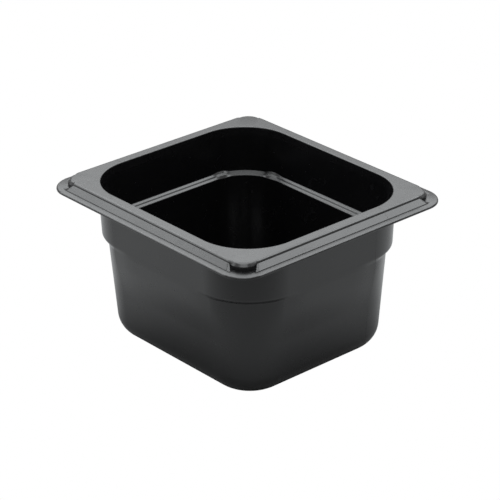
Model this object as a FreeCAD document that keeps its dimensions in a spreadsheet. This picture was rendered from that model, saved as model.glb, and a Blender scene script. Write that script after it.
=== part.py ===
import FreeCAD, Part
import math
import os
import Sketcher

os.makedirs("parts", exist_ok=True)

# Sixth-size food pan, one thin-walled moulding.
# Origin: centre of the flat base. +X runs along the long side, +Y to the back, +Z up. Sizes in mm.
# Every "inset" is measured inwards from the outer edge of the rim, so a section of the pan is a list of
# (inset, height) points. All inner corners turn about one upright axis, which stands corner_span inside
# the outer edge on both sides, so a straight zone and the corner beside it share one section.

SIZES = {
    "overall_length": 176.0,
    "overall_width": 162.0,
    "overall_height": 100.8,
    "corner_span": 47.0,
    # rim
    "rim_edge": 0.0,
    "lip_radius": 16.06,
    "lip_bottom": 94.3,
    "lip_edge": 96.1,
    "lip_root_inset": 3.45,
    "lip_root_radius": 12.61,
    "lip_root_height": 96.15,
    "band_outer_inset": 3.6,
    "band_outer_height": 96.45,
    "band_inner_inset": 6.8,
    "band_inner_height": 99.2,
    "band_end": 32.7,
    "plateau_outer_inset": 6.94,
    "plateau_outer_height": 99.9,
    "plateau_flat_inset": 8.3,
    "plateau_radius": 9.0,
    "plateau_flat_radius": 7.64,
    "facet_foot_inset": 6.9,
    "facet_foot_radius": 9.04,
    "skirt_inner_inset": 2.4,
    "skirt_inner_radius": 13.66,
    "underside_height": 94.7,
    "recess_inset": 9.0,
    "recess_radius": 7.0,
    "rim_seat_height": 98.4,
    "opening_inset": 13.66,
    # collar and stacking ledge
    "collar_top_inset": 12.0,
    "collar_bottom_inset": 13.6,
    "collar_bottom_height": 68.1,
    "collar_turn_radius": 8.8,
    "split_height": 61.0,
    "split_outer_inset": 17.22,
    "split_inner_inset": 19.72,
    "ledge_upper_inset": 15.45,
    "ledge_upper_height": 73.7,
    "ledge_back_inset": 16.05,
    "ledge_back_height": 72.57,
    "ledge_front_inset": 18.38,
    "ledge_front_height": 70.83,
    "ledge_lower_inset": 19.0,
    "ledge_lower_height": 69.7,
    "ledge_fillet": 1.4,
    # tapered lower body
    "foot_outer_radius": 15.24,
    "foot_inner_radius": 12.7,
    "foot_outer_height": 14.04,
    "foot_outer_inset": 20.92,
    "foot_inner_height": 14.3,
    "foot_inner_inset": 23.4,
    "floor_inset": 36.2,
    "floor_thickness": 2.6,
}

doc = FreeCAD.newDocument("FoodPan")
sheet = doc.addObject("Spreadsheet::Sheet", "Params")
for row, (alias, number) in enumerate(SIZES.items(), start=1):
    sheet.set("A%d" % row, alias)
    sheet.set("B%d" % row, str(number))
    sheet.setAlias("B%d" % row, alias)
doc.recompute()


def size(alias):
    return float(sheet.get(alias))


def bound(obj, prop, formula):
    obj.setExpression(prop, formula)


def reach(inset):
    """Distance of an inset line from the corner axis, as a formula."""
    return "Params.corner_span - Params.%s" % inset


def plane_of(body, role):
    for feature in body.Origin.OriginFeatures:
        if feature.Role == role:
            return feature
    raise RuntimeError("origin plane not found: " + role)


def new_body(label):
    body = doc.addObject("PartDesign::Body", label)
    body.Label = label
    return body


def new_sketch(body, name, role):
    sketch = body.newObject("Sketcher::SketchObject", name)
    sketch.AttachmentSupport = [(plane_of(body, role), "")]
    sketch.MapMode = "FlatFace"
    return sketch


def pin(sketch, geometry, point, along, number, formula):
    """Hold one coordinate of a sketch point at a value bound to the sheet."""
    if abs(number) < 1e-9:
        axis = -2 if along == "DistanceX" else -1
        sketch.addConstraint(Sketcher.Constraint("PointOnObject", geometry, point, axis))
        return
    index = sketch.addConstraint(Sketcher.Constraint(along, -1, 1, geometry, point, number))
    if formula:
        name = "%s_%d_%d" % (along[-1].lower() + "_of", geometry, point)
        sketch.renameConstraint(index, name)
        bound(sketch, "Constraints." + name, formula)


def arc_through(start, end, radius, turn):
    """Circular arc from start to end; turn is +1 when it runs anticlockwise and -1 when clockwise."""
    chord = FreeCAD.Vector(end[0] - start[0], end[1] - start[1], 0)
    half = chord.Length / 2
    rise = math.sqrt(max(radius * radius - half * half, 0.0))
    across = FreeCAD.Vector(-chord.y, chord.x, 0)
    across.normalize()
    middle = FreeCAD.Vector((start[0] + end[0]) / 2, (start[1] + end[1]) / 2, 0)
    centre = middle + across * (rise * turn)
    first = math.atan2(start[1] - centre.y, start[0] - centre.x)
    last = math.atan2(end[1] - centre.y, end[0] - centre.x)
    circle = Part.Circle(centre, FreeCAD.Vector(0, 0, 1), radius)
    if turn > 0:
        return Part.ArcOfCircle(circle, first, last if last > first else last + 2 * math.pi)
    return Part.ArcOfCircle(circle, last, first if first > last else first + 2 * math.pi)


def draw_outline(sketch, corners, arcs):
    """Close an outline through corners, each (x, x formula, y, y formula).

    arcs maps the index of an edge to (radius, radius formula, turn)."""
    count = len(corners)
    ends = []
    for i in range(count):
        start = (corners[i][0], corners[i][2])
        end = (corners[(i + 1) % count][0], corners[(i + 1) % count][2])
        if i in arcs:
            radius, formula, turn = arcs[i]
            index = sketch.addGeometry(arc_through(start, end, radius, turn), False)
            ends.append((1, 2) if turn > 0 else (2, 1))
        else:
            a = FreeCAD.Vector(start[0], start[1], 0)
            b = FreeCAD.Vector(end[0], end[1], 0)
            sketch.addGeometry(Part.LineSegment(a, b), False)
            ends.append((1, 2))
    for i in range(count):
        after = (i + 1) % count
        sketch.addConstraint(Sketcher.Constraint("Coincident", i, ends[i][1], after, ends[after][0]))
    for i, (x, x_formula, y, y_formula) in enumerate(corners):
        pin(sketch, i, ends[i][0], "DistanceX", x, x_formula)
        pin(sketch, i, ends[i][0], "DistanceY", y, y_formula)
    for i, (radius, formula, turn) in arcs.items():
        index = sketch.addConstraint(Sketcher.Constraint("Radius", i, radius))
        sketch.renameConstraint(index, "radius_%d" % i)
        bound(sketch, "Constraints.radius_%d" % i, formula)


def draw_section(sketch, points, arcs):
    """Section outline from (inset alias, height alias) pairs; height alias None is the base plane."""
    span = size("corner_span")
    corners = []
    for inset, height in points:
        level = size(height) if height else 0.0
        corners.append((span - size(inset), reach(inset), level, "Params." + height if height else None))
    bows = {i: (size(alias), "Params." + alias, turn) for i, (alias, turn) in arcs.items()}
    draw_outline(sketch, corners, bows)


RIM_SECTION = (
    [
        ("opening_inset", "rim_seat_height"),
        ("recess_inset", "rim_seat_height"),
        ("recess_inset", "underside_height"),
        ("skirt_inner_inset", "underside_height"),
        ("skirt_inner_inset", "lip_bottom"),
        ("rim_edge", "lip_bottom"),
        ("rim_edge", "lip_edge"),
        ("lip_root_inset", "lip_root_height"),
        ("band_outer_inset", "band_outer_height"),
        ("band_inner_inset", "band_inner_height"),
        ("plateau_outer_inset", "plateau_outer_height"),
        ("plateau_flat_inset", "overall_height"),
        ("opening_inset", "overall_height"),
    ],
    {},
)
COLLAR_SECTION = (
    [
        ("opening_inset", "rim_seat_height"),
        ("ledge_upper_inset", "ledge_upper_height"),
        ("ledge_back_inset", "ledge_back_height"),
        ("ledge_front_inset", "ledge_front_height"),
        ("ledge_lower_inset", "ledge_lower_height"),
        ("split_inner_inset", "split_height"),
        ("split_outer_inset", "split_height"),
        ("collar_bottom_inset", "collar_bottom_height"),
        ("collar_top_inset", "rim_seat_height"),
    ],
    {1: ("ledge_fillet", -1), 3: ("ledge_fillet", 1), 6: ("collar_turn_radius", 1)},
)
LOWER_SECTION = (
    [
        ("split_inner_inset", "split_height"),
        ("foot_inner_inset", "foot_inner_height"),
        ("floor_inset", "floor_thickness"),
        ("floor_inset", None),
        ("foot_outer_inset", "foot_outer_height"),
        ("split_outer_inset", "split_height"),
    ],
    {1: ("foot_inner_radius", -1), 3: ("foot_outer_radius", 1)},
)


def set_symmetric(pad):
    if hasattr(pad, "SideType"):
        pad.SideType = "Symmetric"
    else:
        pad.Midplane = True


def wall_zone(label, section, side):
    """Straight zone: the section drawn across the wall and padded along it."""
    body = new_body(label)
    sketch = new_sketch(body, label + "_section", "XZ_Plane")
    draw_section(sketch, *section)
    pad = body.newObject("PartDesign::Pad", label + "_pad")
    pad.Profile = sketch
    set_symmetric(pad)
    run = "overall_length" if side in ("front", "back") else "overall_width"
    bound(pad, "Length", "Params.%s - 2 * Params.corner_span" % run)
    sketch.Visibility = False
    stand = {"right": ("x", 1, 0), "back": ("y", 1, 90), "left": ("x", -1, 180), "front": ("y", -1, 270)}
    along, sign, angle = stand[side]
    extent = "overall_length" if along == "x" else "overall_width"
    body.Placement = FreeCAD.Placement(FreeCAD.Vector(), FreeCAD.Rotation(FreeCAD.Vector(0, 0, 1), angle))
    bound(body, "Placement.Base." + along, "%d * (Params.%s / 2 - Params.corner_span)" % (sign, extent))
    return body


QUARTERS = {
    "back_right": (1, 1, 0),
    "back_left": (-1, 1, 90),
    "front_left": (-1, -1, 180),
    "front_right": (1, -1, 270),
}


def stand_on_corner(body, corner):
    """Put a zone modelled in the +X +Y quarter onto the upright axis of its own corner."""
    x_sign, y_sign, angle = QUARTERS[corner]
    body.Placement = FreeCAD.Placement(FreeCAD.Vector(), FreeCAD.Rotation(FreeCAD.Vector(0, 0, 1), angle))
    bound(body, "Placement.Base.x", "%d * (Params.overall_length / 2 - Params.corner_span)" % x_sign)
    bound(body, "Placement.Base.y", "%d * (Params.overall_width / 2 - Params.corner_span)" % y_sign)


def corner_zone(label, section, corner):
    """Quarter turn of the same section about the corner's upright axis."""
    body = new_body(label)
    sketch = new_sketch(body, label + "_section", "XZ_Plane")
    draw_section(sketch, *section)
    turn = body.newObject("PartDesign::Revolution", label + "_turn")
    turn.Profile = sketch
    turn.ReferenceAxis = (sketch, ["V_Axis"])
    turn.Angle = 90
    doc.recompute()
    if turn.Shape.BoundBox.YMax < 1:
        turn.Reversed = True
    sketch.Visibility = False
    stand_on_corner(body, corner)
    return body


def rim_outline(body, name, inset, radius, height):
    """Plan of the rim corner at one inset line, lying at a given height."""
    sketch = new_sketch(body, name, "XY_Plane")
    bound(sketch, "AttachmentOffset.Base.z", "Params." + height)
    span = size("corner_span") - size(inset)
    near = span - size(radius)
    far_formula = reach(inset)
    near_formula = reach(inset) + " - Params." + radius
    corners = [
        (0.0, None, 0.0, None),
        (span, far_formula, 0.0, None),
        (span, far_formula, near, near_formula),
        (near, near_formula, span, far_formula),
        (0.0, None, span, far_formula),
    ]
    draw_outline(sketch, corners, {2: (size(radius), "Params." + radius, 1)})
    return sketch


def loft(body, name, low, high):
    feature = body.newObject("PartDesign::AdditiveLoft", name)
    feature.Profile = low
    feature.Sections = [high]
    feature.Ruled = True
    return feature


def pocket_up(body, name, sketch, low, high):
    """Cut upwards from the sketch, which lies at the height low, to the height high."""
    cut = body.newObject("PartDesign::Pocket", name)
    cut.Profile = sketch
    cut.Reversed = True
    bound(cut, "Length", "Params.%s - Params.%s" % (high, low))
    return cut


BAND_SECTION = (
    [
        ("plateau_flat_inset", "lip_root_height"),
        ("lip_root_inset", "lip_root_height"),
        ("band_outer_inset", "band_outer_height"),
        ("band_inner_inset", "band_inner_height"),
        ("plateau_outer_inset", "plateau_outer_height"),
        ("plateau_flat_inset", "plateau_outer_height"),
    ],
    {},
)


def rim_corner_zone(label, corner):
    """Rim corner: lip plate, the ends of both bands, the raised plateau with its steep corner facet."""
    body = new_body(label)
    plate = rim_outline(body, label + "_plate", "rim_edge", "lip_radius", "lip_bottom")
    pad = body.newObject("PartDesign::Pad", label + "_plate_pad")
    pad.Profile = plate
    bound(pad, "Length", "Params.lip_edge - Params.lip_bottom")

    edge = rim_outline(body, label + "_lip", "rim_edge", "lip_radius", "lip_edge")
    root = rim_outline(body, label + "_root", "lip_root_inset", "lip_root_radius", "lip_root_height")
    loft(body, label + "_lip_slope", edge, root)

    foot = rim_outline(body, label + "_foot", "facet_foot_inset", "facet_foot_radius", "lip_root_height")
    shoulder = rim_outline(
        body, label + "_shoulder", "plateau_outer_inset", "plateau_radius", "plateau_outer_height"
    )
    crown = rim_outline(body, label + "_crown", "plateau_flat_inset", "plateau_flat_radius", "overall_height")
    loft(body, label + "_facet", foot, shoulder)
    loft(body, label + "_roll", shoulder, crown)

    for plane, forward in (("XZ_Plane", True), ("YZ_Plane", False)):
        section = new_sketch(body, "%s_band_%s" % (label, plane[:2].lower()), plane)
        draw_section(section, *BAND_SECTION)
        band = body.newObject("PartDesign::Pad", "%s_band_pad_%s" % (label, plane[:2].lower()))
        band.Profile = section
        band.Reversed = forward
        bound(band, "Length", "Params.band_end")

    recess = rim_outline(body, label + "_recess", "recess_inset", "recess_radius", "lip_bottom")
    pocket_up(body, label + "_recess_cut", recess, "lip_bottom", "rim_seat_height")
    skirt = rim_outline(body, label + "_skirt", "skirt_inner_inset", "skirt_inner_radius", "lip_bottom")
    pocket_up(body, label + "_skirt_cut", skirt, "lip_bottom", "underside_height")

    mouth = new_sketch(body, label + "_mouth", "XY_Plane")
    bound(mouth, "AttachmentOffset.Base.z", "Params.lip_bottom")
    circle = Part.Circle(FreeCAD.Vector(), FreeCAD.Vector(0, 0, 1), size("corner_span") - size("opening_inset"))
    mouth.addGeometry(circle, False)
    mouth.addConstraint(Sketcher.Constraint("Coincident", 0, 3, -1, 1))
    index = mouth.addConstraint(Sketcher.Constraint("Radius", 0, circle.Radius))
    mouth.renameConstraint(index, "mouth_radius")
    bound(mouth, "Constraints.mouth_radius", reach("opening_inset"))
    pocket_up(body, label + "_mouth_cut", mouth, "lip_bottom", "overall_height")
    stand_on_corner(body, corner)
    return body


def floor_zone(label):
    """Flat floor panel, out to where the foot curve begins."""
    body = new_body(label)
    sketch = new_sketch(body, label + "_plan", "XY_Plane")
    half_x = "Params.overall_length / 2 - Params.floor_inset"
    half_y = "Params.overall_width / 2 - Params.floor_inset"
    axis_x = "Params.overall_length / 2 - Params.corner_span"
    axis_y = "Params.overall_width / 2 - Params.corner_span"
    x, y = size("overall_length") / 2 - size("floor_inset"), size("overall_width") / 2 - size("floor_inset")
    u, v = size("overall_length") / 2 - size("corner_span"), size("overall_width") / 2 - size("corner_span")
    signs = [(1, -1, 0), (1, 1, 1), (-1, 1, 0), (-1, -1, 1)]
    corners = []
    for x_sign, y_sign, swap in signs:
        flat = (x_sign * u, "%d * (%s)" % (x_sign, axis_x), y_sign * y, "%d * (%s)" % (y_sign, half_y))
        upright = (x_sign * x, "%d * (%s)" % (x_sign, half_x), y_sign * v, "%d * (%s)" % (y_sign, axis_y))
        corners += [upright, flat] if swap else [flat, upright]
    radius = size("corner_span") - size("floor_inset")
    bows = {i: (radius, reach("floor_inset"), 1) for i in (0, 2, 4, 6)}
    draw_outline(sketch, corners, bows)
    pad = body.newObject("PartDesign::Pad", label + "_pad")
    pad.Profile = sketch
    bound(pad, "Length", "Params.floor_thickness")
    return body


parts = [floor_zone("floor_panel")]
for side in ("front", "back", "left", "right"):
    parts.append(wall_zone("lower_wall_" + side, LOWER_SECTION, side))
    parts.append(wall_zone("collar_wall_" + side, COLLAR_SECTION, side))
    parts.append(wall_zone("rim_side_" + side, RIM_SECTION, side))
for corner in QUARTERS:
    parts.append(corner_zone("lower_corner_" + corner, LOWER_SECTION, corner))
    parts.append(corner_zone("collar_corner_" + corner, COLLAR_SECTION, corner))
    parts.append(rim_corner_zone("rim_corner_" + corner, corner))
doc.recompute()

for thing in doc.Objects:
    if {"Invalid", "Error"} & set(thing.State):
        raise RuntimeError("%s: %s" % (thing.Label, thing.State))
for body in parts:
    if body.Shape.isNull() or not body.Shape.isValid() or len(body.Shape.Solids) != 1:
        raise RuntimeError("bad shape: " + body.Label)
for body in parts:
    body.Shape.exportStep("parts/%s.step" % body.Label)
    box = body.Shape.BoundBox
    print("%-28s %8.0f mm3  x %.1f..%.1f y %.1f..%.1f z %.1f..%.1f" % (
        body.Label, body.Shape.Volume, box.XMin, box.XMax, box.YMin, box.YMax, box.ZMin, box.ZMax))
print("total volume", round(sum(body.Shape.Volume for body in parts)))
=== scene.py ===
import math

import bmesh
import bpy
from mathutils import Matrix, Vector


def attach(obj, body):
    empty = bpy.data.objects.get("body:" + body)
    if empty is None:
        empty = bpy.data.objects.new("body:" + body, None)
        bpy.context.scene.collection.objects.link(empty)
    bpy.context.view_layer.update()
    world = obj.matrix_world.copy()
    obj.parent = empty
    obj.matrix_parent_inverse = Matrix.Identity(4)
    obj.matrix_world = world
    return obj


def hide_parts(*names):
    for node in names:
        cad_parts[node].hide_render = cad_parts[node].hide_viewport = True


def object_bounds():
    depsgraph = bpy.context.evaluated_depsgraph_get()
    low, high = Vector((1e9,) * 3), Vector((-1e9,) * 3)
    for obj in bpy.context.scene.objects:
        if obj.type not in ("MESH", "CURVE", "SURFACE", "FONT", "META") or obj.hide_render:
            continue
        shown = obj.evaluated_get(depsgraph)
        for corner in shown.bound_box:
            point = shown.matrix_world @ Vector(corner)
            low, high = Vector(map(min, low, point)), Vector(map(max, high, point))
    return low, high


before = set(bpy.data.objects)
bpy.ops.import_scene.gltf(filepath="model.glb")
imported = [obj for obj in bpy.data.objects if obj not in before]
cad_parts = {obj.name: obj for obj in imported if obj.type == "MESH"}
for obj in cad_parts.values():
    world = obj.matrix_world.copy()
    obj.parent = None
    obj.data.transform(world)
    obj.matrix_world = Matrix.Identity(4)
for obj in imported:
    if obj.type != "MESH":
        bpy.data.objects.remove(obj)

bl_info = {
    "name": "Deli food pan",
    "version": (1, 0, 0),
    "blender": (4, 5, 0),
    "location": "View3D > Sidebar > Food Pan",
    "description": "Builds a sixth-size moulded food pan and the small studio that it is shown in",
    "category": "Add Mesh",
}

CAD_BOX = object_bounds()
MM = 0.001


# ---------------------------------------------------------------- node trees

class Wire:
    """A node's output that can be used in ordinary arithmetic."""

    def __init__(self, board, value):
        self.board = board
        self.value = value

    def _maths(self, operation, *others):
        return self.board.maths(operation, self, *others)

    def __add__(self, other):
        return self._maths("ADD", other)

    __radd__ = __add__

    def __sub__(self, other):
        return self._maths("SUBTRACT", other)

    def __rsub__(self, other):
        return self.board.maths("SUBTRACT", other, self)

    def __mul__(self, other):
        return self._maths("MULTIPLY", other)

    __rmul__ = __mul__

    def __truediv__(self, other):
        return self._maths("DIVIDE", other)

    def __gt__(self, other):
        return self._maths("GREATER_THAN", other)

    def __lt__(self, other):
        return self._maths("LESS_THAN", other)

    def __abs__(self):
        return self._maths("ABSOLUTE")

    def high(self, other):
        return self._maths("MAXIMUM", other)

    def low(self, other):
        return self._maths("MINIMUM", other)

    def root(self):
        return self._maths("SQRT")

    def sign(self):
        return self._maths("SIGN")


class Board:
    """Adds nodes to one shader or geometry tree."""

    def __init__(self, tree):
        self.tree = tree

    def node(self, kind, settings=None, **sockets):
        """Add a node with its settings, then set or link its sockets, by name or as in0, in1..."""
        made = self.tree.nodes.new(kind)
        for name, value in (settings or {}).items():
            setattr(made, name, value)
        for key, value in sockets.items():
            self.plug(self._socket(made, key), value)
        return made

    @staticmethod
    def _socket(made, key):
        if key.startswith("in") and key[2:].isdigit():
            return made.inputs[int(key[2:])]
        wanted = key.replace("_", " ").lower()
        for socket in made.inputs:
            if socket.enabled and socket.name.lower() == wanted:
                return socket
        raise RuntimeError("%s has no socket %s" % (made.bl_idname, key))

    def plug(self, socket, value):
        if isinstance(value, Wire):
            value = value.value
        if isinstance(value, bpy.types.NodeSocket):
            self.tree.links.new(value, socket)
        else:
            socket.default_value = value

    def wire(self, made, output=0):
        return Wire(self, made.outputs[output])

    def maths(self, operation, *values):
        made = self.tree.nodes.new("ShaderNodeMath")
        made.operation = operation
        for socket, value in zip(made.inputs, values):
            self.plug(socket, value)
        return Wire(self, made.outputs[0])

    def ramp(self, value, low, high, smooth=True):
        """0 at low, 1 at high; low may be above high."""
        made = self.node(
            "ShaderNodeMapRange",
            {"interpolation_type": "SMOOTHSTEP" if smooth else "LINEAR"},
            value=value, from_min=low, from_max=high,
        )
        return self.wire(made)

    def move(self, mesh, x=0.0, y=0.0, z=0.0):
        """Shift every vertex of the mesh by its own x, y and z."""
        shift = self.node("ShaderNodeCombineXYZ", x=x, y=y, z=z)
        moved = self.node("GeometryNodeSetPosition", geometry=mesh, offset=shift.outputs[0])
        return moved.outputs[0]


def add_input(tree, name, default):
    socket = tree.interface.new_socket(name, in_out="INPUT", socket_type="NodeSocketFloat")
    socket.default_value = default


# ---------------------------------------------------------------- sizes and colours

def length(name, description, default):
    """A size in metres, given here in millimetres."""
    return bpy.props.FloatProperty(
        name=name, description=description, default=default * MM,
        unit="LENGTH", subtype="DISTANCE", precision=5
    )


class PanSizes(bpy.types.PropertyGroup):
    """Sizes of the moulding. An inset is measured inwards from the outer edge of the rim."""

    span_x: bpy.props.FloatProperty(
        name="Length", description="Over the rim, along X",
        default=CAD_BOX[1][0] - CAD_BOX[0][0], unit="LENGTH", subtype="DISTANCE", precision=5
    )
    span_y: bpy.props.FloatProperty(
        name="Width", description="Over the rim, along Y",
        default=CAD_BOX[1][1] - CAD_BOX[0][1], unit="LENGTH", subtype="DISTANCE", precision=5
    )
    height: bpy.props.FloatProperty(
        name="Height", description="Base to plateau",
        default=CAD_BOX[1][2] - CAD_BOX[0][2], unit="LENGTH", subtype="DISTANCE", precision=5
    )
    corner_axis: length(
        "Corner axis", "Inset of the upright axis that each inner corner turns about", 47.0
    )
    lip_radius: length("Lip radius", "Corner radius of the lip in plan", 16.06)
    plateau_radius: length(
        "Plateau radius", "Corner radius of the plateau's outer edge in plan", 9.0
    )
    mouth_inset: length("Mouth inset", "Inset of the opening", 13.66)
    band_reach: length("Band reach", "How far each band runs past the inner corner's axis", 32.7)
    floor: length("Floor", "Thickness of the floor panel", 2.6)


class PanColours(bpy.types.PropertyGroup):
    """Finish of the plastic."""

    plastic: bpy.props.FloatVectorProperty(
        name="Plastic", description="Body colour of the polycarbonate",
        default=(0.002, 0.002, 0.0023), subtype="COLOR", size=3, min=0.0, max=1.0
    )
    rubbed: bpy.props.FloatVectorProperty(
        name="Rubbed plastic", description="The same plastic where edges and scuffs have gone dull",
        default=(0.016, 0.016, 0.017), subtype="COLOR", size=3, min=0.0, max=1.0
    )
    gloss: bpy.props.FloatProperty(
        name="Wall roughness", description="Roughness of the smooth walls",
        default=0.24, min=0.0, max=1.0, subtype="FACTOR"
    )
    satin: bpy.props.FloatProperty(
        name="Rim roughness", description="Roughness of the fine-grained rim",
        default=0.27, min=0.0, max=1.0, subtype="FACTOR"
    )


# ---------------------------------------------------------------- the section of the pan

# Insets and heights are in mm; a slope is height over inset.

# the rim: the plateau rolls over at its edge, and a band runs from there down to the lip
ROLL_RADIUS = 1.8
PLATEAU_EDGE = 6.94
ROLL_START = PLATEAU_EDGE + ROLL_RADIUS
BAND_TOP = 99.25
BAND_FOOT = 3.6
BAND_FOOT_LEVEL = 96.5
LIP_LEVEL = 96.12
LIP_FALL = 0.09
LIP_BOTTOM = 94.3
NOSE_SLOPE = 1.11

# the hollow underneath the rim
SKIRT_INNER = 2.4
UNDERSIDE_LEVEL = 94.7
RECESS_INSET = 9.0
SEAT_LEVEL = 98.4

# the outer wall below the step, with the heights where it has points of its own
WALL_INSET = 17.22
WALL_TOP = 61.0
WALL_TAPER = 0.0789
WALL_LEVELS = (56.5, 52.0, 47.5, 43.0, 38.5, 34.0)
FLOOR_EDGE = 36.3


def pan_section(sizes):
    """Points (inset, height, fillet radius) from the inner floor, over the rim, to the base."""
    top = sizes.height / MM
    floor = sizes.floor / MM
    mouth = sizes.mouth_inset / MM
    return [
        (FLOOR_EDGE, floor, 0.0),
        (24.32, floor, 12.7),
        (19.05, 69.7, 1.0),
        (17.9, 70.8, 0.5),
        (16.6, 71.15, 0.5),
        (15.5, 72.2, 1.0),
        (mouth, top, 0.5),
        (mouth - 1.0, top, 0.0),
        (ROLL_START + 0.4, top, 0.0),
        (PLATEAU_EDGE, top, ROLL_RADIUS),
        (PLATEAU_EDGE, BAND_TOP, 0.12),
        (BAND_FOOT, BAND_FOOT_LEVEL, 0.15),
        (BAND_FOOT, LIP_LEVEL, 0.12),
        (0.0, LIP_LEVEL - BAND_FOOT * LIP_FALL, 1.0),
        (0.0, LIP_BOTTOM, 0.3),
        (SKIRT_INNER, LIP_BOTTOM, 0.2),
        (SKIRT_INNER, UNDERSIDE_LEVEL, 0.2),
        (RECESS_INSET, UNDERSIDE_LEVEL, 0.8),
        (RECESS_INSET, SEAT_LEVEL, 0.8),
        (12.0, SEAT_LEVEL, 1.0),
        (13.45, 67.2, 2.6),
        (16.95, 64.4, 1.6),
        *((WALL_INSET + (WALL_TOP - level) * WALL_TAPER, level, 0.0) for level in WALL_LEVELS),
        (22.03, 0.0, 15.24),
        (FLOOR_EDGE, 0.0, 0.0),
    ]


def section_curve(sizes, path_radius):
    """The section as an open curve, drawn with height along -Y; a point's radius holds its fillet."""
    data = bpy.data.curves.new("pan_section", "CURVE")
    data.dimensions = "3D"
    points = pan_section(sizes)
    spline = data.splines.new("POLY")
    spline.points.add(len(points) - 1)
    axis = sizes.corner_axis
    for point, (inset, height, fillet) in zip(spline.points, points):
        point.co = (axis - inset * MM - path_radius, -height * MM, 0.0, 1.0)
        point.radius = fillet * MM
    return data


# ---------------------------------------------------------------- the pan as geometry nodes

PATH_RADIUS = 1.0 * MM
CORNER_POINTS = 96
FLAT_CUTS = 12.0
TANGENT_SLACK = 0.002 * MM
BIG_FILLET = 5.0 * MM
BIG_FILLET_POINTS = 14
SMALL_FILLET_POINTS = 6

# reach from the corner axis where the corners start to square off, and where the plateau's flat ends
SQUARE_START = 35.3 * MM
PLATEAU_FLAT = 38.0 * MM
CROWN_TIGHTER = 2.1 * MM
ARC_SLACK = 1e-7

# the ends of the bands
BAND_OVERRUN = 0.6 * MM
BAND_CURL = 3.4 * MM
BAND_BLEND = 0.8 * MM
GATHER_WIDTH = 1.6 * MM
RIM_SKIN_INSET = 9.0 * MM
RIM_SKIN_LEVEL = 95.0 * MM

# the stacking ledge in the corners; "turned" is 0 where a corner meets a flat and largest halfway
LEDGE_INSETS = (15.4 * MM, 19.12 * MM)
LEDGE_LEVELS = (69.0 * MM, 72.9 * MM)
LEDGE_FOOT = 19.05 * MM
LEDGE_FOOT_LEVEL = 70.35 * MM
LEDGE_SLOPE = 0.50
LEDGE_TURNED = (0.25, 0.42)
SWELL_TURNED_IN = (0.02, 0.20)
SWELL_TURNED_OUT = (0.42, 0.28)
SWELL_HEIGHT = 0.9 * MM

# the outer step, drawn out between two heights along the flats
COLLAR_INSET = 13.6 * MM
SKIN_DEPTH = 1.2 * MM
SKIN_LEVEL = 30.0 * MM
TAPER_LEVELS = (32.0 * MM, 69.5 * MM)
FLAT_BLEND = (-18.0 * MM, 12.0 * MM)

WELD = 1e-6


def sweep_section(board, group_in):
    """Fillet the section and carry it round the rectangle of the four corner axes."""
    radius = board.wire(board.node("GeometryNodeInputRadius"))
    curve = group_in.outputs["Section"]
    rounds = ((BIG_FILLET_POINTS, radius > BIG_FILLET), (SMALL_FILLET_POINTS, radius < BIG_FILLET))
    for count, keep in rounds:
        fillet = board.node(
            "GeometryNodeFilletCurve", {"mode": "POLY"}, curve=curve, count=count, limit_radius=True,
            radius=radius * keep
        )
        curve = fillet.outputs[0]
    plain = board.node("GeometryNodeSetCurveRadius", curve=curve, radius=1.0)

    half_x = Wire(board, group_in.outputs["Axis X"])
    half_y = Wire(board, group_in.outputs["Axis Y"])
    frame_curve = board.node(
        "GeometryNodeCurvePrimitiveQuadrilateral", {"mode": "RECTANGLE"},
        width=(half_x + PATH_RADIUS) * 2.0, height=(half_y + PATH_RADIUS) * 2.0
    )
    path = board.node(
        "GeometryNodeFilletCurve", {"mode": "POLY"}, curve=frame_curve.outputs[0],
        count=CORNER_POINTS, radius=PATH_RADIUS
    )
    position = board.node("GeometryNodeInputPosition")
    spot = board.node("ShaderNodeSeparateXYZ", vector=position.outputs[0])
    off_x = abs(abs(board.wire(spot, 0)) - half_x)
    off_y = abs(abs(board.wire(spot, 1)) - half_y)
    tangent = off_x.low(off_y) < TANGENT_SLACK
    divided = board.node(
        "GeometryNodeSubdivideCurve", curve=path.outputs[0], cuts=tangent * FLAT_CUTS
    )
    swept = board.node(
        "GeometryNodeCurveToMesh", curve=divided.outputs[0], profile_curve=plain.outputs[0],
        fill_caps=False
    )
    return swept.outputs[0]


class Place:
    """Where a vertex lies: how far it is past the corner axes, and its reach from the nearest one."""

    def __init__(self, board, group_in):
        position = board.node("GeometryNodeInputPosition")
        split = board.node("ShaderNodeSeparateXYZ", vector=position.outputs[0])
        self.x, self.y, self.z = (board.wire(split, i) for i in range(3))
        self.axis_x = Wire(board, group_in.outputs["Axis X"])
        self.axis_y = Wire(board, group_in.outputs["Axis Y"])
        self.qx = (abs(self.x) - self.axis_x).high(0.0)
        self.qy = (abs(self.y) - self.axis_y).high(0.0)
        self.reach = (self.qx * self.qx + self.qy * self.qy).root()
        self.least = self.qx.low(self.qy)


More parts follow.
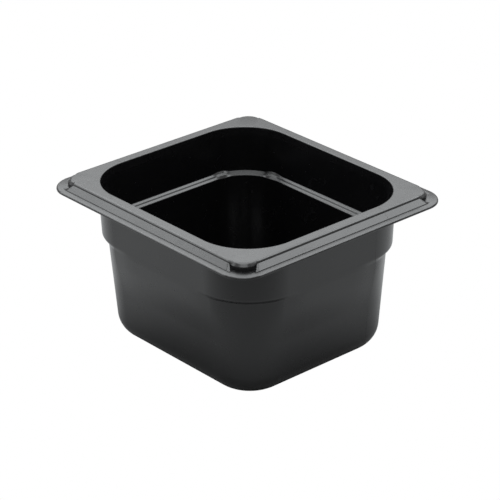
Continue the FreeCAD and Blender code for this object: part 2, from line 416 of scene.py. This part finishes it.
def square_the_rim(board, group_in, mesh):
    """Draw the rim's corners out from the round mouth to the tighter plateau and lip."""
    at = Place(board, group_in)
    span = Wire(board, group_in.outputs["Corner Axis"])
    mouth = span - Wire(board, group_in.outputs["Mouth Inset"])
    crown = Wire(board, group_in.outputs["Plateau Radius"]) - CROWN_TIGHTER
    lip = Wire(board, group_in.outputs["Lip Radius"])
    to_crown = board.ramp(at.reach, SQUARE_START, PLATEAU_FLAT, smooth=False)
    to_lip = board.ramp(at.reach, PLATEAU_FLAT, span, smooth=False)
    corner = mouth + (crown - mouth) * to_crown + (lip - crown) * to_lip
    centre = at.reach - corner
    dx = at.qx / at.reach
    dy = at.qy / at.reach
    apart = (dx - dy) * centre
    arc = centre * (dx + dy) + (corner * corner - apart * apart).high(0.0).root()
    straight = at.reach / dx.high(dy)
    on_arc = (dx.low(dy) * arc + ARC_SLACK) > centre
    drawn = straight + (arc - straight) * on_arc
    grow = (drawn / at.reach - 1.0) * (at.reach > SQUARE_START)
    reach_kept = board.node(
        "GeometryNodeStoreNamedAttribute", {"data_type": "FLOAT", "domain": "POINT"},
        geometry=mesh, name="reach", value=at.reach
    )
    return board.move(
        reach_kept.outputs[0], x=at.x.sign() * at.qx * grow, y=at.y.sign() * at.qy * grow
    )


def kept_inset(board, group_in):
    """The inset that a vertex had before the rim was squared."""
    reach = board.node("GeometryNodeInputNamedAttribute", {"data_type": "FLOAT"}, name="reach")
    return Wire(board, group_in.outputs["Corner Axis"]) - board.wire(reach)


def past_band_end(board, group_in, at, inset):
    """How far a vertex lies beyond the curled end of the nearest band."""
    across = ((inset - BAND_FOOT * MM) / ((PLATEAU_EDGE - BAND_FOOT) * MM)).low(1.0).high(0.0)
    end = Wire(board, group_in.outputs["Band Reach"]) + BAND_OVERRUN
    return at.least - (end - across * across * across * BAND_CURL)


def gather_at_band_ends(board, group_in, mesh):
    """Draw the columns of vertices near a band's end towards it, so that the end is crisp."""
    at = Place(board, group_in)
    inset = kept_inset(board, group_in)
    past = past_band_end(board, group_in, at, inset)
    on_rim = (inset < RIM_SKIN_INSET) * (at.z > RIM_SKIN_LEVEL)
    slide = past * ((abs(past) / GATHER_WIDTH).low(1.0) - 1.0) * on_rim
    along_x = at.qx < at.qy
    return board.move(
        mesh, x=at.x.sign() * slide * along_x, y=at.y.sign() * slide * (1.0 - along_x)
    )


def end_the_bands(board, group_in, mesh):
    """Let each sloping band stop short of the corner, and leave a steep facet beyond it."""
    at = Place(board, group_in)
    inset = kept_inset(board, group_in)
    beyond = board.ramp(past_band_end(board, group_in, at, inset), -BAND_BLEND, BAND_BLEND)
    above_band = (BAND_TOP + 0.04) * MM
    on_band = (inset < (PLATEAU_EDGE + 0.02) * MM) * (at.z < above_band) * (at.z > LIP_LEVEL * MM)
    shelf = LIP_LEVEL * MM + (inset - BAND_FOOT * MM) * LIP_FALL
    height = Wire(board, group_in.outputs["Height"])
    chamfer = height - (ROLL_START * MM - inset) * NOSE_SLOPE
    on_roll = (
        (inset < ROLL_START * MM) * (inset > (PLATEAU_EDGE - 0.01) * MM) * (at.z > above_band)
    )
    drop = (shelf - at.z) * beyond * on_band + (chamfer - at.z).low(0.0) * beyond * on_roll
    return board.move(mesh, z=drop)


def shape_ledge_corners(board, group_in, mesh):
    """Make the ledge one plain slope in each corner, swelling where the corner meets the flats."""
    at = Place(board, group_in)
    inset = kept_inset(board, group_in)
    on_ledge = (
        (inset > LEDGE_INSETS[0]) * (inset < LEDGE_INSETS[1])
        * (at.z > LEDGE_LEVELS[0]) * (at.z < LEDGE_LEVELS[1])
    )
    turned = at.least / at.reach.high(1.0 * MM)
    arc = board.ramp(turned, *LEDGE_TURNED)
    swell = board.ramp(turned, *SWELL_TURNED_IN) * board.ramp(turned, *SWELL_TURNED_OUT)
    plain = LEDGE_FOOT_LEVEL + (LEDGE_FOOT - inset) * LEDGE_SLOPE
    on_top = board.ramp(inset, 19.0 * MM, 16.0 * MM)
    lift = (plain - at.z) * arc + swell * on_top * SWELL_HEIGHT
    return board.move(mesh, z=lift * on_ledge)


def fade_the_step(board, group_in, mesh):
    """Draw the outer step out into a long taper along the flats; the corners keep it crisp."""
    at = Place(board, group_in)
    inset = kept_inset(board, group_in)
    lower = (WALL_INSET + WALL_TOP * WALL_TAPER) * MM - at.z * WALL_TAPER
    outer_skin = (inset < lower + SKIN_DEPTH) * (at.z < TAPER_LEVELS[1]) * (at.z > SKIN_LEVEL)
    eased = lower + (COLLAR_INSET - lower) * board.ramp(at.z, *TAPER_LEVELS)
    along = (at.axis_x - abs(at.x)).high(at.axis_y - abs(at.y))
    slide = (inset - eased) * board.ramp(along, *FLAT_BLEND) * outer_skin
    return board.move(
        mesh, x=at.x.sign() * slide * (at.qx > 0.0), y=at.y.sign() * slide * (at.qy > 0.0)
    )


SHAPING = (
    square_the_rim, gather_at_band_ends, end_the_bands, shape_ledge_corners, fade_the_step
)


def pan_tree(sizes, material):
    """The tree that turns the section into the pan, and the values of its number inputs."""
    tree = bpy.data.node_groups.new("pan_shell", "GeometryNodeTree")
    tree.is_modifier = True
    tree.interface.new_socket("Section", in_out="INPUT", socket_type="NodeSocketGeometry")
    inputs = {
        "Axis X": sizes.span_x / 2 - sizes.corner_axis,
        "Axis Y": sizes.span_y / 2 - sizes.corner_axis,
        "Corner Axis": sizes.corner_axis,
        "Mouth Inset": sizes.mouth_inset,
        "Lip Radius": sizes.lip_radius,
        "Plateau Radius": sizes.plateau_radius,
        "Band Reach": sizes.band_reach,
        "Height": sizes.height,
    }
    for name, value in inputs.items():
        add_input(tree, name, value)
    tree.interface.new_socket("Shell", in_out="OUTPUT", socket_type="NodeSocketGeometry")
    board = Board(tree)
    group_in = board.node("NodeGroupInput")
    mesh = sweep_section(board, group_in)
    for shape in SHAPING:
        mesh = shape(board, group_in, mesh)
    real = board.node("GeometryNodeRealizeInstances", geometry=mesh)
    smooth = board.node("GeometryNodeSetShadeSmooth", geometry=real.outputs[0], shade_smooth=True)
    dressed = board.node("GeometryNodeSetMaterial", geometry=smooth.outputs[0])
    dressed.inputs["Material"].default_value = material
    group_out = board.node("NodeGroupOutput")
    tree.links.new(dressed.outputs[0], group_out.inputs[0])
    return tree, inputs


def close_floor(mesh):
    """Fill the two open loops at the middle of the floor and face everything outwards."""
    work = bmesh.new()
    work.from_mesh(mesh)
    bmesh.ops.remove_doubles(work, verts=work.verts, dist=WELD)
    open_edges = [edge for edge in work.edges if edge.is_boundary]
    bmesh.ops.holes_fill(work, edges=open_edges, sides=0)
    bmesh.ops.recalc_face_normals(work, faces=work.faces)
    for face in work.faces:
        face.smooth = True
    work.to_mesh(mesh)
    work.free()


class FOODPAN_OT_pan(bpy.types.Operator):
    """Build the moulded pan as one closed shell and stand it in for the whole frame model"""

    bl_idname = "foodpan.build_pan"
    bl_label = "Build pan"

    def execute(self, context):
        sizes = context.scene.food_pan_sizes
        material = pan_plastic(sizes, context.scene.food_pan_colours)
        source = bpy.data.objects.new("pan_section", section_curve(sizes, PATH_RADIUS))
        context.collection.objects.link(source)
        tree, inputs = pan_tree(sizes, material)
        modifier = source.modifiers.new("Shell", "NODES")
        modifier.node_group = tree
        for item in tree.interface.items_tree:
            if item.in_out == "INPUT" and item.name in inputs:
                modifier[item.identifier] = inputs[item.name]
        context.view_layer.update()
        shaped = source.evaluated_get(context.evaluated_depsgraph_get())
        mesh = bpy.data.meshes.new_from_object(shaped)
        bpy.data.objects.remove(source)
        close_floor(mesh)
        mesh.name = "food_pan"
        pan = bpy.data.objects.new("food_pan", mesh)
        context.collection.objects.link(pan)
        if not mesh.materials:
            mesh.materials.append(material)
        weight = pan.modifiers.new("Even shading", "WEIGHTED_NORMAL")
        weight.mode = "FACE_AREA"
        weight.keep_sharp = True
        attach(pan, "root")
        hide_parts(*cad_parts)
        return {"FINISHED"}


# ---------------------------------------------------------------- the plastic

# where the satin of the rim fades in, and the insets of the two edges that get rubbed on top of it
SATIN_LEVELS = (95.0 * MM, 95.8 * MM)
CROWN_EDGE = 8.2 * MM
MOUTH_EDGE = 13.8 * MM
POLYCARBONATE_IOR = 1.585
BUMP_STRENGTH = 0.07
BUMP_DEPTH = 0.2 * MM


def pan_plastic(sizes, colours):
    """Black polycarbonate: smooth walls, a satin rim, and the marks of daily use."""
    material = bpy.data.materials.new("black_polycarbonate")
    material.use_nodes = True
    tree = material.node_tree
    tree.nodes.clear()
    board = Board(tree)
    place = board.node("ShaderNodeTexCoord").outputs["Object"]
    height = board.wire(board.node("ShaderNodeSeparateXYZ", vector=place), 2)
    reach = board.wire(board.node("ShaderNodeAttribute", {"attribute_name": "reach"}), 2)
    inset = sizes.corner_axis - reach

    def noise(scale, detail, vector=place, distortion=0.0):
        return board.wire(board.node(
            "ShaderNodeTexNoise", vector=vector, scale=scale, detail=detail, distortion=distortion
        ))

    upright = board.node(
        "ShaderNodeVectorMath", {"operation": "MULTIPLY"}, in0=place, in1=(1.0, 1.0, 0.03)
    )
    cloud = noise(22.0, 3.0)
    haze = noise(75.0, 4.0, distortion=0.6)
    grain = noise(1400.0, 2.0)
    streak = noise(520.0, 3.0, vector=upright.outputs[0])
    breakup = board.ramp(noise(240.0, 4.0), 0.38, 0.66)
    scuff = board.ramp(noise(130.0, 6.0, distortion=1.5), 0.60, 0.72)

    rim = board.ramp(height, *SATIN_LEVELS)
    lip_edge = board.ramp(inset, 1.1 * MM, 0.2 * MM)
    crown_edge = board.ramp(abs(inset - CROWN_EDGE), 0.9 * MM, 0.2 * MM) * (height > 99.0 * MM)
    mouth_edge = board.ramp(abs(inset - MOUTH_EDGE), 0.6 * MM, 0.1 * MM) * (height > 100.0 * MM)
    foot = board.ramp(height, 3.0 * MM, 0.2 * MM)
    wear = lip_edge.high(crown_edge).high(mouth_edge).high(foot) * breakup

    walls = 1.0 - rim
    rough = (
        colours.gloss + (colours.satin - colours.gloss) * rim + (cloud - 0.5) * 0.09
        + (haze - 0.5) * 0.05 + (streak - 0.5) * 0.06 * walls + scuff * 0.05 + wear * 0.07
    )
    worn = (wear * 0.5 + scuff * 0.05 * walls).low(1.0)
    rubbed = board.node(
        "ShaderNodeMix", {"data_type": "RGBA"},
        in0=worn, in6=(*colours.plastic, 1.0), in7=(*colours.rubbed, 1.0)
    )
    relief = grain * (rim * 0.3 + 0.1) + streak * walls * 0.2 - scuff * 0.06
    bump = board.node("ShaderNodeBump", strength=BUMP_STRENGTH, distance=BUMP_DEPTH, height=relief)
    shader = board.node(
        "ShaderNodeBsdfPrincipled", base_color=rubbed.outputs[2], roughness=rough,
        ior=POLYCARBONATE_IOR, normal=bump.outputs[0]
    )
    out = board.node("ShaderNodeOutputMaterial")
    tree.links.new(shader.outputs[0], out.inputs[0])
    return material


# ---------------------------------------------------------------- the studio

VIEW_FROM = Vector((0.909233, -0.790454, 0.644948))
VIEW_AZIMUTH = math.radians(47.447)
VIEW_ELEVATION = math.radians(25.993)
VIEW_LENS = 161.9
VIEW_SHIFT = -0.1032
SENSOR_WIDTH = 36.0
CLIP = (0.05, 20.0)

WHITE = (1.0, 1.0, 1.0, 1.0)
COOL = (0.955, 0.985, 1.0, 1.0)
LIGHT_REACH = 1.6
ROOM_LEVEL = 0.5

FLOOR_RADIUS = 3.0
FLOOR_SEGMENTS = 96
FLOOR_DROP = 0.2 * MM
FLOOR_GREY = (0.20, 0.20, 0.20, 1.0)

# A fixed patch of the floor glows on the near side of the pan. It fades out between these
# distances ahead of the pan's middle, and in between these distances from the middle.
GLOW_LEVEL = 0.31
GLOW_AHEAD = (0.26, 0.05)
GLOW_CLEAR = (0.07, 0.13)

# name, heading and elevation in degrees, width and height in metres, radiance
SOFT_BOXES = (
    ("left_box", 186.0, 47.0, 0.86, 0.86, 4.2),
    ("side_box", 224.0, 30.0, 0.90, 0.95, 2.5),
    ("right_box", 68.0, 50.0, 0.80, 0.86, 4.4),
    ("back_box", 125.0, 43.5, 1.86, 1.01, 2.4),
    ("top_box", -42.5, 86.5, 1.20, 2.04, 3.3),
)


def floor_paint():
    """Seamless white table top: plain white to the lens, grey with a soft glow to reflections."""
    material = bpy.data.materials.new("studio_white")
    material.use_nodes = True
    tree = material.node_tree
    tree.nodes.clear()
    board = Board(tree)
    seen = board.node("ShaderNodeLightPath").outputs["Is Camera Ray"]
    white = board.node("ShaderNodeEmission", color=WHITE, strength=1.0)
    place = board.node("ShaderNodeTexCoord").outputs["Object"]
    split = board.node("ShaderNodeSeparateXYZ", vector=place)
    x, y = board.wire(split, 0), board.wire(split, 1)
    ahead = x * math.sin(VIEW_AZIMUTH) - y * math.cos(VIEW_AZIMUTH)
    distance = (x * x + y * y).root()
    near = board.ramp(ahead, *GLOW_AHEAD) * board.ramp(distance, *GLOW_CLEAR)
    glow = board.node("ShaderNodeEmission", color=COOL, strength=GLOW_LEVEL)
    matt = board.node("ShaderNodeBsdfDiffuse", color=FLOOR_GREY)
    bright = board.node("ShaderNodeAddShader", in0=matt.outputs[0], in1=glow.outputs[0])
    lit = board.node("ShaderNodeMixShader", in0=near, in1=matt.outputs[0], in2=bright.outputs[0])
    mix = board.node("ShaderNodeMixShader", in0=seen, in1=lit.outputs[0], in2=white.outputs[0])
    out = board.node("ShaderNodeOutputMaterial")
    tree.links.new(mix.outputs[0], out.inputs[0])
    return material


def light_the_room(tree):
    """White paper to the lens, and a dimmer even light on everything else."""
    board = Board(tree)
    tree.nodes.clear()
    seen = board.wire(board.node("ShaderNodeLightPath"), 0)
    glow = board.node(
        "ShaderNodeBackground", color=WHITE, strength=seen * (1.0 - ROOM_LEVEL) + ROOM_LEVEL
    )
    out = board.node("ShaderNodeOutputWorld")
    tree.links.new(glow.outputs[0], out.inputs[0])


def direction(heading, elevation):
    """A unit vector; the angles are in radians."""
    return Vector((
        math.cos(heading) * math.cos(elevation),
        math.sin(heading) * math.cos(elevation),
        math.sin(elevation),
    ))


def soft_box(name, heading, elevation, width, height, radiance):
    """A rectangular diffuser that faces the pan."""
    data = bpy.data.lights.new(name, "AREA")
    data.shape = "RECTANGLE"
    data.size = width
    data.size_y = height
    data.color = COOL[:3]
    data.energy = radiance * math.pi * width * height
    towards = direction(math.radians(heading), math.radians(elevation))
    lamp = bpy.data.objects.new(name, data)
    lamp.location = towards * LIGHT_REACH
    lamp.rotation_euler = (-towards).to_track_quat("-Z", "Y").to_euler()
    bpy.context.collection.objects.link(lamp)


def lay_floor():
    """Lay the white table top just below the base."""
    work = bmesh.new()
    bmesh.ops.create_circle(work, cap_ends=True, segments=FLOOR_SEGMENTS, radius=FLOOR_RADIUS)
    data = bpy.data.meshes.new("studio_floor")
    work.to_mesh(data)
    work.free()
    floor = bpy.data.objects.new("studio_floor", data)
    floor.location.z = -FLOOR_DROP
    data.materials.append(floor_paint())
    bpy.context.collection.objects.link(floor)


def set_camera(scene):
    """Aim a camera from the outer corner of the rim down on to the pan."""
    data = bpy.data.cameras.new("camera")
    data.lens = VIEW_LENS
    data.sensor_width = SENSOR_WIDTH
    data.shift_x = VIEW_SHIFT
    data.clip_start, data.clip_end = CLIP
    camera = bpy.data.objects.new("camera", data)
    camera.location = VIEW_FROM
    ahead = -direction(VIEW_AZIMUTH - math.pi / 2.0, VIEW_ELEVATION)
    camera.rotation_euler = ahead.to_track_quat("-Z", "Y").to_euler()
    bpy.context.collection.objects.link(camera)
    scene.camera = camera


class FOODPAN_OT_stage(bpy.types.Operator):
    """Lay the floor, hang the soft lights and set the camera"""

    bl_idname = "foodpan.build_stage"
    bl_label = "Build stage"

    def execute(self, context):
        scene = context.scene
        world = bpy.data.worlds.new("studio")
        world.use_nodes = True
        light_the_room(world.node_tree)
        scene.world = world
        lay_floor()
        for box in SOFT_BOXES:
            soft_box(*box)
        set_camera(scene)
        scene.view_settings.view_transform = "Standard"
        scene.view_settings.look = "None"
        return {"FINISHED"}


# ---------------------------------------------------------------- panel and registration

class FOODPAN_PT_sidebar(bpy.types.Panel):
    """Sizes, colours and builders of the food pan"""

    bl_idname = "FOODPAN_PT_sidebar"
    bl_label = "Food Pan"
    bl_space_type = "VIEW_3D"
    bl_region_type = "UI"
    bl_category = "Food Pan"

    def draw(self, context):
        column = self.layout.column()
        for group in (context.scene.food_pan_sizes, context.scene.food_pan_colours):
            for name in group.bl_rna.properties.keys():
                if name not in ("rna_type", "name"):
                    column.prop(group, name)
        for builder in BUILDERS:
            column.operator(builder.bl_idname)


BUILDERS = (FOODPAN_OT_pan, FOODPAN_OT_stage)
CLASSES = (PanSizes, PanColours, *BUILDERS, FOODPAN_PT_sidebar)


def register():
    for item in CLASSES:
        bpy.utils.register_class(item)
    bpy.types.Scene.food_pan_sizes = bpy.props.PointerProperty(type=PanSizes)
    bpy.types.Scene.food_pan_colours = bpy.props.PointerProperty(type=PanColours)


def unregister():
    del bpy.types.Scene.food_pan_colours
    del bpy.types.Scene.food_pan_sizes
    for item in reversed(CLASSES):
        bpy.utils.unregister_class(item)


def main():
    register()
    bpy.ops.foodpan.build_pan()
    bpy.ops.foodpan.build_stage()


if __name__ == "__main__":
    main()
